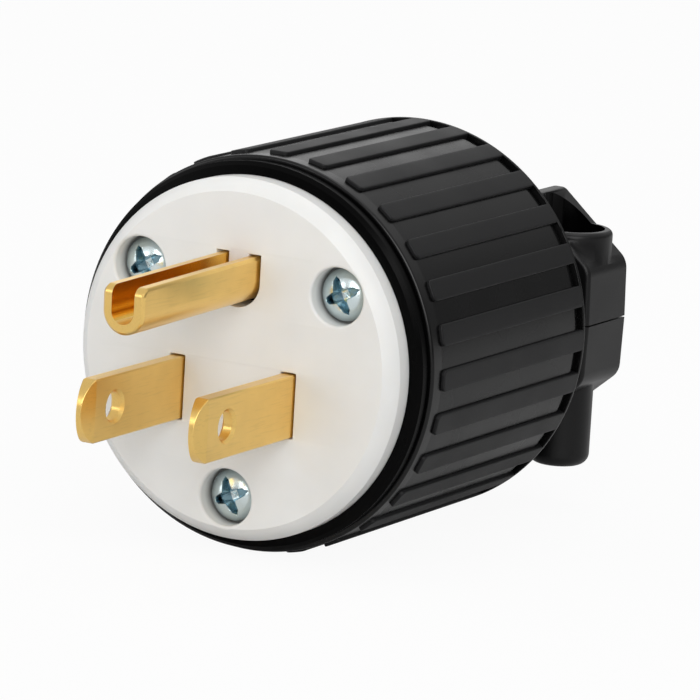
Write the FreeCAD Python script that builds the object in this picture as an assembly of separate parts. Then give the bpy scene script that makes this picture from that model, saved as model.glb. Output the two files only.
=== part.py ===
"""A 15 A, 125 V grounding plug with a screw-on face, a ribbed shell and a split cord clamp.

Units are millimetres. The origin is the middle of the mating face. The blades point
along -Y, the cord leaves along +Y, and the grounding blade is on top, along +Z.
"""
import FreeCAD
import Part
import math
import os

# Flat blades
blade_pitch = 12.7            # between the two flat blades
blade_width = 6.35
blade_thick = 1.52
blade_reach = 18.25           # beyond the mating face
blade_tip_rise = 2.0          # height of the tip's arc, seen from the side
blade_bevel = 0.49            # thinning of each face at the tip
blade_bevel_run = 1.95
blade_edge = 0.14             # chamfer of the long edges
blade_hole_r = 1.45
blade_hole_rim = 0.3          # width and depth of the dish round the hole
blade_hole_at = 12.65         # from the mating face
blade_drop = 3.53             # flat blades below the plug's axis
shoulder_width = 9.0          # of the blades' shoulders behind the cover
shoulder_length = 2.0

# Grounding blade, a folded channel open upwards
ground_offset = 11.89         # middle of the fold above the flat blades
ground_width = 4.64
ground_wall = 1.06
ground_rise = 2.45            # straight wall above the middle of the fold
ground_reach = 21.45          # beyond the mating face
ground_lean = 1.1             # degrees that it leans down in front of its seat
ground_corner = 1.0           # rounding of the walls' top corners at the tip
ground_chamfer = 0.3
ground_overlap = 3.5          # channel carried on past the shoulders, over its foot
ground_foot_width = 8.0
ground_shoulder_width = 9.6

# Shell
shell_radius = 19.95          # of its front band
shell_wall = 2.8
groove_width = 0.34           # dark line between the lip and the shell
groove_depth = 0.9
front_round = 0.3
rib_count = 28
rib_width = 2.2
rib_start = 6.5               # front end of the ribs, from the mating face
rib_rise = 0.35               # of the ribs and the rim over the front band
rib_corner = 0.55             # rounding of a rib's front corners
floor_fall = 0.31             # of the floor between the ribs, just in front of the rim
floor_run = 1.45              # length of that fall
rim_thick = 0.4               # thin rim that closes the ribs' rear end
rim_back = 36.35
rim_round = 0.5               # bevel behind the rim
rear_length = 5.35            # of the rear shoulder, from the rim to its flat end
shoulder_rise = 7.95          # from the front band's radius down to the shoulder's flat end
shoulder_bulge = 1.5          # of the rear shoulder's arc over its chord
post_r = 3.6

# White cover and terminal block, whose rim shows as the black lip round the cover
lip_step = 0.44               # lip below the front band
lip_width = 1.33
lip_round = 0.4
lip_slope = 0.12              # fall of the lip's front towards its edge
cover_thick = 4.0
cover_edge = 1.3              # rounding of the mating face's edge
cover_sink = 1.0              # of the cover in the lip
blade_slot_gap = 0.12         # round the flat blades in the cover
ground_slot_gap = 0.21        # round the grounding blade in the cover
ground_slot_low = 0.38        # more room under it, where it leans
ground_slot_top = 0.1         # over its walls
ground_tongue_gap = 0.14      # between its walls and the cover's tongue
block_back = 23.0             # block's rear end, from the mating face
flange_floor = 0.4            # flange behind the cover
nest_gap = 0.05               # cover in the lip
block_gap = 0.1               # block in the shell, and block to the shell's posts
chamber_front = 9.0
chamber_side = 5.4            # half width of a terminal chamber
seat_gap = 0.05               # blades in the block

# Neck that carries the clamp
neck_r = 7.8
neck_bore_r = 6.5
ring_r = 8.8
ring_width = 1.5
neck_length = 4.1
neck_gap = 0.2                # neck in the clamp

# Cord clamp, two equal halves
clamp_gap = 0.95              # from the shoulder's flat end
clamp_depth = 8.5
clamp_half_width = 17.3
clamp_draft = 0.03            # lean of the side faces, per millimetre
clamp_side = 5.98             # height of the side faces before the shoulder
clamp_side_round = 2.1
clamp_top = 12.63
clamp_top_at = 9.35           # outer end of the flat tops
clamp_top_width = 1.25
clamp_saddle = 10.9           # height over the cord
clamp_saddle_at = 4.75
clamp_top_round = 1.0
clamp_edge = 0.5              # rounding of the front edges
parting_gap = 0.16
cord_r = 6.9                  # passage between the teeth
tooth_r = 5.5
tooth_count = 3
tooth_width = 1.1             # at its root
tooth_land = 0.3              # of its crest
tooth_lead = 0.6              # place of the first tooth, in shares of their pitch
clamp_screw_at = 12.75        # from the plug's axis
boss_r = 4.18
boss_top = 9.38
boss_round = 0.6
pocket_r = 3.35
pocket_floor = 3.1
tongue_r = 3.24
tongue_top = 15.68
tongue_round = 1.25

# Screws
screw_inset = 4.35            # screws in the mating face, from the cover's edge
screw_angle = 35.5            # of the two upper ones, above the plug's sides
assembly_r = 1.5
assembly_head_r = 2.75
assembly_head = 1.95
assembly_sink = 2.4           # depth of the cover's recesses
assembly_recess_gap = 0.15
assembly_tip = 29.5
assembly_spin = 25.0          # degrees that the driver's cross is turned
clamp_screw_r = 1.75
clamp_head_r = 3.15
clamp_head = 2.3
clamp_screw_reach = 15.4      # under the head
clamp_spin = 15.0
terminal_r = 1.75
terminal_head_r = 3.4
terminal_head = 1.9
terminal_reach = 6.5
terminal_at = 15.5            # from the mating face
terminal_spin = 20.0
foot_back = 20.5              # rear end of the blades' feet
plate_side = 7.4
plate_thick = 1.2
plate_corner = 0.8
screw_gap = 0.2               # round a screw's shank
thread_gap = 0.03             # between a screw and what it is threaded into
screw_point = 0.5             # chamfer of a screw's end
cross_width = 0.8             # of a driver's cross
cross_reach = 1.65
cross_depth = 1.2
dome_share = 0.45             # of a head's height that is its crown
insert_wall = 0.8
insert_length = 6.0
insert_sink = 0.15

# Places that follow
screw_angles = {"right": screw_angle, "left": 180.0 - screw_angle, "bottom": 270.0}
lip_radius = shell_radius - lip_step
cover_radius = lip_radius - lip_width
screw_circle = cover_radius - screw_inset
ground_z = ground_offset - blade_drop
ground_fold_r = ground_width / 2
ground_low = ground_z - ground_fold_r
ground_high = ground_z + ground_rise
lip_front = cover_thick - cover_sink
lip_back = cover_thick + flange_floor
shell_front = lip_back + groove_width
rib_top = shell_radius + rib_rise
cavity_r = shell_radius - shell_wall
block_r = cavity_r - block_gap
post_front = block_back + block_gap
shoulder_top = shell_radius - shoulder_rise
shoulder_back = rim_back + rear_length
foot_front = cover_thick + shoulder_length
insert_front = post_front + insert_sink
clamp_front = shoulder_back + clamp_gap
clamp_back = clamp_front + clamp_depth
clamp_mid = clamp_front + clamp_depth / 2
ring_back = shoulder_back + neck_length
ring_front = ring_back - ring_width
throat = ring_back + neck_gap
rib_pitch = 360.0 / rib_count

AXIS = FreeCAD.Vector(0, 1, 0)
TINY = 0.01                   # nearness, for finding an edge by its place
OVER = 1.0                    # cutting tools reach past what they cut
OUT = "parts"


def vec(x, y, z):
    return FreeCAD.Vector(x, y, z)


def near(a, b):
    return abs(a - b) < TINY


def box(x0, x1, y0, y1, z0, z1):
    return Part.makeBox(x1 - x0, y1 - y0, z1 - z0, vec(x0, y0, z0))


def rod(radius, start, end):
    """A cylinder from one point to another."""
    way = end - start
    return Part.makeCylinder(radius, way.Length, start, way)


def turned(points):
    """A solid of revolution about the plug's axis.

    A point is (radius, y), reached by a straight line, or (radius, y, radius, y): the
    middle and the end of an arc.
    """
    edges = []
    last = vec(points[0][0], points[0][1], 0)
    for point in points[1:] + points[:1]:
        end = vec(point[-2], point[-1], 0)
        if len(point) == 4:
            edges.append(Part.Arc(last, vec(point[0], point[1], 0), end).toShape())
        else:
            edges.append(Part.makeLine(last, end))
        last = end
    return Part.Face(Part.Wire(edges)).revolve(vec(0, 0, 0), AXIS, 360)


def extruded(corners, way):
    """A prism on a closed outline of points."""
    return Part.Face(Part.makePolygon(corners + corners[:1])).extrude(way)


def edges_near(shape, test):
    """The edges whose middle passes a test."""
    found = []
    for edge in shape.Edges:
        middle = edge.valueAt((edge.FirstParameter + edge.LastParameter) / 2)
        if test(middle):
            found.append(edge)
    return found


def on_circle(radius, degrees, y):
    angle = math.radians(degrees)
    return vec(radius * math.cos(angle), y, radius * math.sin(angle))


def screw_way(degrees, y0, y1, radius):
    """The straight way of a screw of the mating face, from one depth to another."""
    return rod(radius, on_circle(screw_circle, degrees, y0), on_circle(screw_circle, degrees, y1))


def flat_blade(side):
    """A flat blade, its shoulders and its foot. Side is 1 or -1."""
    half = blade_thick / 2
    high = blade_width / 2
    tip_corner = blade_tip_rise - blade_reach
    arc = Part.Arc(vec(-half, tip_corner, -high), vec(-half, -blade_reach, 0), vec(-half, tip_corner, high))
    sides = Part.makePolygon([vec(-half, tip_corner, high), vec(-half, foot_back, high),
                              vec(-half, foot_back, -high), vec(-half, tip_corner, -high)])
    stem = Part.Face(Part.Wire([arc.toShape()] + sides.Edges)).extrude(vec(blade_thick, 0, 0))
    stem = stem.makeChamfer(blade_edge, edges_near(stem, lambda p: near(abs(p.x), half) and near(abs(p.z), high)))
    shoulders = box(-half, half, cover_thick, foot_front, -shoulder_width / 2, shoulder_width / 2)
    cuts = [rod(blade_hole_r, vec(-half - OVER, -blade_hole_at, 0), vec(half + OVER, -blade_hole_at, 0)),
            rod(terminal_r + thread_gap, vec(-half - OVER, terminal_at, 0), vec(half + OVER, terminal_at, 0))]
    low = -high - OVER
    for face in (1, -1):
        cuts.append(extruded([vec(face * half, blade_bevel_run - blade_reach, low),
                              vec(face * (half + OVER), blade_bevel_run - blade_reach, low),
                              vec(face * (half + OVER), -blade_reach - OVER, low),
                              vec(face * (half - blade_bevel), -blade_reach, low)],
                             vec(0, 0, blade_width + 2 * OVER)))
        cuts.append(Part.makeCone(blade_hole_r + blade_hole_rim, blade_hole_r, blade_hole_rim,
                                  vec(face * half, -blade_hole_at, 0), vec(-face, 0, 0)))
    blade = stem.fuse(shoulders).removeSplitter().cut(cuts)
    blade.translate(vec(side * blade_pitch / 2, 0, -blade_drop))
    return blade


def channel(y0, y1, around=0.0, low=0.0, top=0.0):
    """The grounding blade's fold, as a solid without its hollow, with room around, under and over it."""
    radius = ground_fold_r + around
    middle = ground_z - low
    round_part = rod(radius, vec(0, y0, middle), vec(0, y1, middle))
    walls = box(-radius, radius, y0, y1, middle, ground_high + top)
    return round_part.fuse(walls).removeSplitter()


def channel_hollow(y0, y1, shrink=0.0):
    """What the fold leaves open, upwards too."""
    radius = ground_fold_r - ground_wall - shrink
    round_part = rod(radius, vec(0, y0, ground_z), vec(0, y1, ground_z))
    gap = box(-radius, radius, y0, y1, ground_z, ground_high + 2 * OVER)
    return round_part.fuse(gap).removeSplitter()


def leaned(shape, degrees):
    """A copy turned down about the place where the grounding blade leaves its seat."""
    copy = shape.copy()
    copy.rotate(vec(0, cover_thick, ground_z), vec(1, 0, 0), degrees)
    return copy


def grounding_blade():
    """The folded channel, its shoulders and its flat foot, bent where it leaves its seat."""
    tip = -ground_reach
    outer = channel(tip, cover_thick + OVER)
    outer = outer.makeFillet(ground_corner, edges_near(outer, lambda p: near(p.y, tip) and near(p.z, ground_high)))
    outer = outer.makeChamfer(ground_chamfer, edges_near(outer, lambda p: near(p.y, tip)))
    outer = outer.cut(channel_hollow(tip - OVER, cover_thick + 2 * OVER))
    rear = foot_front + ground_overlap
    inner = channel(cover_thick - OVER, rear).cut(channel_hollow(cover_thick - 2 * OVER, rear + OVER))

    reach = ground_shoulder_width
    ahead = box(-reach, reach, cover_thick - 3 * OVER, cover_thick, ground_low - reach, ground_high + reach)
    behind = box(-reach, reach, cover_thick, cover_thick + 3 * OVER, ground_low - reach, ground_high + reach)
    outer = leaned(outer, ground_lean).cut(leaned(behind, ground_lean / 2))
    inner = inner.cut(leaned(ahead, ground_lean / 2))

    foot_high = ground_low + ground_wall
    shoulders = box(-reach / 2, reach / 2, cover_thick, foot_front, ground_low, foot_high)
    foot = box(-ground_foot_width / 2, ground_foot_width / 2, foot_front, foot_back, ground_low, foot_high)
    thread = rod(terminal_r + thread_gap, vec(0, terminal_at, ground_low - OVER), vec(0, terminal_at, foot_high + OVER))
    return outer.fuse([inner, shoulders, foot]).removeSplitter().cut(thread)


def cover():
    """The white cover: slots for the blades and a round recess for each screw."""
    disc = Part.makeCylinder(cover_radius, cover_thick, vec(0, 0, 0), AXIS)
    disc = disc.makeFillet(cover_edge, edges_near(disc, lambda p: near(p.y, 0)))
    back = cover_thick + OVER
    half = blade_thick / 2 + blade_slot_gap
    reach = blade_width / 2 + blade_slot_gap
    cuts = []
    for middle in (blade_pitch / 2, -blade_pitch / 2):
        cuts.append(box(middle - half, middle + half, -OVER, back, -blade_drop - reach, -blade_drop + reach))
    slot = channel(-OVER, back, ground_slot_gap, ground_slot_low, ground_slot_top)
    cuts.append(slot.cut(channel_hollow(-2 * OVER, back + OVER, ground_tongue_gap)))
    for degrees in screw_angles.values():
        cuts.append(screw_way(degrees, -OVER, assembly_sink, assembly_head_r + assembly_recess_gap))
        cuts.append(screw_way(degrees, 0, back, assembly_r + screw_gap))
    return disc.cut(cuts)


def terminal_chambers():
    """The three terminal chambers, open outwards and to the rear."""
    far = block_r + OVER
    back = block_back + OVER
    floor = blade_pitch / 2 - blade_thick / 2
    way_r = terminal_r + screw_gap
    chambers = []
    for side in (1, -1):
        low, high = sorted((side * floor, side * far))
        chambers.append(box(low, high, chamber_front, back, -blade_drop - chamber_side, -blade_drop + chamber_side))
        tip = side * (floor + blade_thick + plate_thick - terminal_reach - screw_gap)
        chambers.append(rod(way_r, vec(side * floor, terminal_at, -blade_drop), vec(tip, terminal_at, -blade_drop)))
    chambers.append(box(-chamber_side, chamber_side, chamber_front, back, ground_low, far))
    bottom = ground_low + ground_wall + plate_thick - terminal_reach - screw_gap
    chambers.append(rod(way_r, vec(0, terminal_at, ground_low), vec(0, terminal_at, bottom)))
    return chambers


def blade_seats():
    """The ways of the three blades and of their shoulders through the terminal block."""
    front = cover_thick - OVER
    back = chamber_front + OVER
    seats = []
    half = blade_thick / 2 + seat_gap
    for middle in (blade_pitch / 2, -blade_pitch / 2):
        for width, rear in ((blade_width, back), (shoulder_width, foot_front)):
            reach = width / 2 + seat_gap
            seats.append(box(middle - half, middle + half, front, rear, -blade_drop - reach, -blade_drop + reach))
    low = ground_low - seat_gap
    high = ground_low + ground_wall + seat_gap
    for width, rear in ((ground_foot_width, back), (ground_shoulder_width, foot_front)):
        reach = width / 2 + seat_gap
        seats.append(box(-reach, reach, front, rear, low, high))
    seats.append(channel(front, back, seat_gap, 0.0, seat_gap).cut(channel_hollow(front - OVER, back + OVER, seat_gap)))
    return seats


def terminal_block():
    """The black block behind the cover: its rim is the lip, its body holds the terminals."""
    nest = cover_radius + nest_gap
    edge = lip_front + lip_slope
    body = turned([(0, cover_thick), (nest, cover_thick), (nest, lip_front), (lip_radius - lip_round, edge),
                   (lip_radius, edge + lip_round), (lip_radius, lip_back), (block_r, lip_back),
                   (block_r, block_back), (0, block_back)])
    screws = [screw_way(degrees, cover_thick - OVER, block_back + OVER, assembly_r + screw_gap)
              for degrees in screw_angles.values()]
    return body.cut(terminal_chambers() + blade_seats() + screws)


def ribs():
    """The ribs: a ring cut into strips with rounded front corners, once for each place."""
    inner = shell_radius - shell_wall / 2
    back = rim_back - rim_thick / 2
    ring = turned([(inner, rib_start), (rib_top, rib_start), (rib_top, back), (inner, back)])
    half = rib_width / 2
    strip = box(-half, half, rib_start, rim_back, inner, rib_top + OVER)
    strip = strip.makeFillet(rib_corner, edges_near(strip, lambda p: near(p.y, rib_start) and near(abs(p.x), half)))
    rib = strip.common(ring)
    copies = []
    for index in range(rib_count):
        copy = rib.copy()
        copy.rotate(vec(0, 0, 0), AXIS, index * rib_pitch)
        copies.append(copy)
    return copies


def shoulder_arc(start, end):
    """Middle and end of the rear shoulder's arc, from one (radius, y) point to another."""
    chord = math.hypot(end[0] - start[0], end[1] - start[1])
    out_r = (end[1] - start[1]) / chord
    out_y = (start[0] - end[0]) / chord
    return ((start[0] + end[0]) / 2 + shoulder_bulge * out_r, (start[1] + end[1]) / 2 + shoulder_bulge * out_y,
            end[0], end[1])


def shell_outer():
    """The shell's outer form without ribs, solid inside."""
    bottom = shell_radius - groove_depth
    floor = shell_radius - floor_fall
    behind = (rib_top - rim_round, rim_back + rim_round / 2)
    return turned([(0, lip_back), (bottom, lip_back), (bottom, shell_front),
                   (shell_radius - front_round, shell_front), (shell_radius, shell_front + front_round),
                   (shell_radius, rim_back - rim_thick - floor_run), (floor, rim_back - rim_thick),
                   (rib_top, rim_back - rim_thick),
                   (rib_top, rim_back), behind, shoulder_arc(behind, (shoulder_top, shoulder_back)),
                   (0, shoulder_back)])


def shell_cavity():
    """The room for the terminal block and the wires."""
    turn = (cavity_r, rim_back - shell_wall / 2)
    end = (shoulder_top - shell_wall / 2, shoulder_back - shell_wall)
    return turned([(0, lip_back - OVER), (cavity_r, lip_back - OVER), turn, shoulder_arc(turn, end), (0, end[1])])


def neck():
    """The neck and the ring that the clamp's halves close over."""
    return turned([(0, shoulder_back - OVER), (neck_r, shoulder_back - OVER), (neck_r, ring_front),
                   (ring_r, ring_front), (ring_r, ring_back), (0, ring_back)])


def shell():
    """The ribbed shell with its three screw posts."""
    outer = shell_outer()
    body = outer.fuse(ribs()).cut(shell_cavity())
    posts = [screw_way(degrees, post_front, shoulder_back, post_r).common(outer) for degrees in screw_angles.values()]
    body = body.fuse(posts + [neck()]).removeSplitter()
    cuts = [rod(neck_bore_r, vec(0, shoulder_back - shell_wall - OVER, 0), vec(0, ring_back + OVER, 0))]
    for degrees in screw_angles.values():
        cuts.append(screw_way(degrees, post_front - OVER, insert_front + insert_length, assembly_r + insert_wall))
        cuts.append(screw_way(degrees, post_front - OVER, assembly_tip + OVER, assembly_r + screw_gap))
    return body.cut(cuts)


def clamp_outline():
    """Right half of a clamp half's outline, from the parting line up to the middle of the saddle."""
    low = parting_gap / 2
    return [(clamp_half_width - clamp_draft * low, low),
            (clamp_half_width - clamp_draft * clamp_side, clamp_side),
            (clamp_top_at, clamp_top),
            (clamp_top_at - clamp_top_width, clamp_top),
            (clamp_saddle_at, clamp_saddle)]


def clamp_passage():
    """The round way through the clamp: over the neck and its ring, then the toothed grip."""
    bore = neck_r + neck_gap
    groove = ring_r + neck_gap
    points = [(0, clamp_front - OVER), (bore, clamp_front - OVER), (bore, ring_front - neck_gap),
              (groove, ring_front - neck_gap), (groove, throat), (cord_r, throat)]
    pitch = (clamp_back - throat) / tooth_count
    for index in range(tooth_count):
        middle = throat + pitch * (index + tooth_lead)
        points += [(cord_r, middle - tooth_width / 2), (tooth_r, middle - tooth_land / 2),
                   (tooth_r, middle + tooth_land / 2), (cord_r, middle + tooth_width / 2)]
    points += [(cord_r, clamp_back + OVER), (0, clamp_back + OVER)]
    return turned(points)


def clamp_rod(side, radius, z0, z1):
    """An upright cylinder on the axis of a clamp screw. Side is 1 or -1."""
    return rod(radius, vec(side * clamp_screw_at, clamp_mid, z0), vec(side * clamp_screw_at, clamp_mid, z1))


def clamp_half():
    """The upper half: a screw pocket on the right and a threaded tongue on the left."""
    right = clamp_outline()
    left = [(-x, z) for x, z in reversed(right)]
    block = extruded([vec(x, clamp_front, z) for x, z in right + left], vec(0, clamp_depth, 0))
    side_x = clamp_half_width - clamp_draft * clamp_side
    block = block.makeFillet(clamp_side_round,
                             edges_near(block, lambda p: near(abs(p.x), side_x) and near(p.z, clamp_side)))
    block = block.makeFillet(clamp_top_round,
                             edges_near(block, lambda p: near(p.z, clamp_top) and near(p.y, clamp_mid)))
    block = block.makeFillet(clamp_edge,
                             edges_near(block, lambda p: near(p.y, clamp_front) and p.z > parting_gap))

    boss = clamp_rod(1, boss_r, pocket_floor - OVER, boss_top)
    boss = boss.makeFillet(boss_round, edges_near(boss, lambda p: near(p.z, boss_top)))
    tongue = clamp_rod(-1, tongue_r, pocket_floor, tongue_top)
    tongue = tongue.makeFillet(tongue_round, edges_near(tongue, lambda p: near(p.z, tongue_top)))
    block = block.fuse([boss, tongue]).removeSplitter()

    shank_r = clamp_screw_r + screw_gap
    insert_back = parting_gap / 2 + insert_sink + insert_length
    screw_tip = clamp_screw_reach - pocket_floor
    return block.cut([clamp_passage(),
                      clamp_rod(1, pocket_r, pocket_floor, clamp_top + OVER),
                      clamp_rod(1, shank_r, -OVER, pocket_floor + OVER),
                      clamp_rod(-1, clamp_screw_r + insert_wall, -OVER, insert_back),
                      clamp_rod(-1, shank_r, -OVER, screw_tip + OVER)])


def turned_over(shape):
    """A copy turned half a turn about the plug's axis."""
    copy = shape.copy()
    copy.rotate(vec(0, 0, 0), AXIS, 180)
    return copy


def pan_screw(shank_r, reach, head_r, head):
    """A pan-head screw standing on its seat: head above z = 0, shank below, with a driver's cross."""
    dome = head * dome_share
    sphere_r = (head_r ** 2 + dome ** 2) / (2 * dome)
    crown = Part.makeSphere(sphere_r, vec(0, 0, head - sphere_r))
    body = rod(head_r, vec(0, 0, 0), vec(0, 0, head)).common(crown)
    shank = rod(shank_r, vec(0, 0, -reach), vec(0, 0, head / 2))
    shank = shank.makeChamfer(screw_point, edges_near(shank, lambda p: near(p.z, -reach)))
    half = cross_width / 2
    floor = head - cross_depth
    cross = box(-cross_reach, cross_reach, -half, half, floor, head + OVER)
    across = box(-half, half, -cross_reach, cross_reach, floor, head + OVER)
    return body.fuse(shank).removeSplitter().cut([cross, across])


def placed(shape, spot, way, spin=0.0):
    """A copy whose own +Z points along a given way, its seat at a given spot."""
    copy = shape.copy()
    copy.rotate(vec(0, 0, 0), vec(0, 0, 1), spin)
    copy.Placement = FreeCAD.Placement(spot, FreeCAD.Rotation(vec(0, 0, 1), way)).multiply(copy.Placement)
    return copy


def insert(bore_r):
    """A threaded insert, as long as insert_length, from z = 0 down."""
    outer = rod(bore_r + insert_wall, vec(0, 0, -insert_length), vec(0, 0, 0))
    return outer.cut(rod(bore_r + thread_gap, vec(0, 0, -insert_length - OVER), vec(0, 0, OVER)))


def pressure_plate():
    """The square plate under a terminal screw's head, from z = -plate_thick up to z = 0."""
    half = plate_side / 2
    plate = box(-half, half, -half, half, -plate_thick, 0)
    plate = plate.makeChamfer(plate_corner, edges_near(plate, lambda p: near(p.z, -plate_thick / 2)))
    return plate.cut(rod(terminal_r + screw_gap, vec(0, 0, -plate_thick - OVER), vec(0, 0, OVER)))


def terminals():
    """The three terminal screws and their pressure plates."""
    screw = pan_screw(terminal_r, terminal_reach, terminal_head_r, terminal_head)
    plate = pressure_plate()
    out = blade_pitch / 2 + blade_thick / 2 + plate_thick
    seats = {"line": (vec(out, terminal_at, -blade_drop), vec(1, 0, 0)),
             "neutral": (vec(-out, terminal_at, -blade_drop), vec(-1, 0, 0)),
             "ground": (vec(0, terminal_at, ground_low + ground_wall + plate_thick), vec(0, 0, 1))}
    pieces = {}
    for name, (spot, way) in seats.items():
        pieces[name + "_terminal_screw"] = placed(screw, spot, way, terminal_spin)
        pieces[name + "_pressure_plate"] = placed(plate, spot, way)
    return pieces


def assembly_fasteners():
    """The three screws in the mating face and the inserts in the shell's posts."""
    screw = pan_screw(assembly_r, assembly_tip - assembly_sink, assembly_head_r, assembly_head)
    sleeve = insert(assembly_r)
    pieces = {}
    for name, degrees in screw_angles.items():
        seat = on_circle(screw_circle, degrees, assembly_sink)
        pieces["assembly_screw_" + name] = placed(screw, seat, -AXIS, assembly_spin)
        pieces["assembly_insert_" + name] = placed(sleeve, on_circle(screw_circle, degrees, insert_front), -AXIS)
    return pieces


def clamp_fasteners():
    """The two clamp screws, one from above and one from below, and their inserts."""
    screw = pan_screw(clamp_screw_r, clamp_screw_reach, clamp_head_r, clamp_head)
    sleeve = insert(clamp_screw_r)
    up = vec(0, 0, 1)
    right = placed(screw, vec(clamp_screw_at, clamp_mid, pocket_floor), up, clamp_spin)
    right_insert = placed(sleeve, vec(clamp_screw_at, clamp_mid, -parting_gap / 2 - insert_sink), up)
    return {"clamp_screw_right": right, "clamp_screw_left": turned_over(right),
            "clamp_insert_right": right_insert, "clamp_insert_left": turned_over(right_insert)}


def nodes():
    """Every piece by its name."""
    upper = clamp_half()
    pieces = {"front_cover": cover(), "terminal_block": terminal_block(), "housing": shell(),
              "line_blade": flat_blade(1), "neutral_blade": flat_blade(-1), "ground_pin": grounding_blade(),
              "clamp_upper": upper, "clamp_lower": turned_over(upper)}
    pieces.update(terminals())
    pieces.update(assembly_fasteners())
    pieces.update(clamp_fasteners())
    return pieces


def main():
    os.makedirs(OUT, exist_ok=True)
    for name, shape in nodes().items():
        shape.exportStep(os.path.join(OUT, name + ".step"))
        print(name, "solids", len(shape.Solids), "valid", shape.isValid(), "volume %.1f" % shape.Volume)


main()
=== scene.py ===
"""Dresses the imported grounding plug: finer meshes, materials, floor, light and camera.

Blender's unit is the metre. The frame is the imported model's: the mating face's middle is
the origin, the blades point along -Y, and the grounding pin is on top, along +Z.
"""

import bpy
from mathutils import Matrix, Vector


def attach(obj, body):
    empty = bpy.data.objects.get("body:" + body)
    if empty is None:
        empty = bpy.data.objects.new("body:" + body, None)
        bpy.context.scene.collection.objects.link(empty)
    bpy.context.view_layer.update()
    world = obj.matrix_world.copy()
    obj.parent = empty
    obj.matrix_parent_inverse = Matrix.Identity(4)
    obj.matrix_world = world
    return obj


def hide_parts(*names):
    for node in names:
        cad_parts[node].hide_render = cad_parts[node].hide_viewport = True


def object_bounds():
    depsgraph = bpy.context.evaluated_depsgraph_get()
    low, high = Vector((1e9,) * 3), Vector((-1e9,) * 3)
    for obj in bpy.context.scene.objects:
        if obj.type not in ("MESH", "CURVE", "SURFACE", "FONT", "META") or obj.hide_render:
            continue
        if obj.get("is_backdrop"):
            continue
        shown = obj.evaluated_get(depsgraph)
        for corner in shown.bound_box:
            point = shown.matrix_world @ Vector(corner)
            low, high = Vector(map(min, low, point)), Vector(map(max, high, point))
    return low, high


bl_info = {
    "name": "Grounding plug",
    "version": (1, 0, 0),
    "blender": (4, 5, 0),
    "location": "3D View > Sidebar > Plug",
    "description": "Builds the dressed grounding plug, its stage and its camera over the packed solids",
    "category": "Object",
}

import bmesh
import bpy
import math
from bpy.props import FloatProperty, FloatVectorProperty, IntProperty, PointerProperty
from mathutils import Matrix, Vector
from mathutils.geometry import tessellate_polygon

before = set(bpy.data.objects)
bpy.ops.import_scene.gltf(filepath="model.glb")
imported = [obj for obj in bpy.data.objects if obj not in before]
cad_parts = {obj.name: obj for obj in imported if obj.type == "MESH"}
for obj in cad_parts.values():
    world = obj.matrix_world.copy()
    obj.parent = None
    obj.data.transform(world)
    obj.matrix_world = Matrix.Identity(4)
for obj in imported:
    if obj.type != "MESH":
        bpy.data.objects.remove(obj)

MM = 0.001
BODY = "root"

# Most values of a noise texture lie between these.
NOISE_SPAN = {"From Min": 0.3, "From Max": 0.7}

# The camera fitted to the photo: its place in metres, the way it looks and the way its top points.
CAMERA_AT = (0.29481, -0.50928, 0.11771)
CAMERA_AHEAD = (-0.47488, 0.85856, -0.19328)
CAMERA_UP = (-0.14567, 0.13991, 0.97939)


def linear(code):
    """An sRGB hex code as linear red, green, blue and alpha."""
    out = []
    for i in (1, 3, 5):
        c = int(code[i:i + 2], 16) / 255
        out.append(c / 12.92 if c <= 0.04045 else ((c + 0.055) / 1.055) ** 2.4)
    return (*out, 1.0)


def length(name, text, millimetres):
    """A length property whose default is given in millimetres."""
    return FloatProperty(name=name, description=text, default=millimetres * MM, min=0.0, precision=5,
                         subtype="DISTANCE", unit="LENGTH")


def turn(name, text, degrees):
    """An angle property whose default is given in degrees."""
    return FloatProperty(name=name, description=text, default=math.radians(degrees), subtype="ANGLE",
                         unit="ROTATION")


def colour(name, text, code):
    """A colour property whose default is given as an sRGB hex code."""
    return FloatVectorProperty(name=name, description=text, default=linear(code), size=4, min=0.0, max=1.0,
                               subtype="COLOR")


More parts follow.
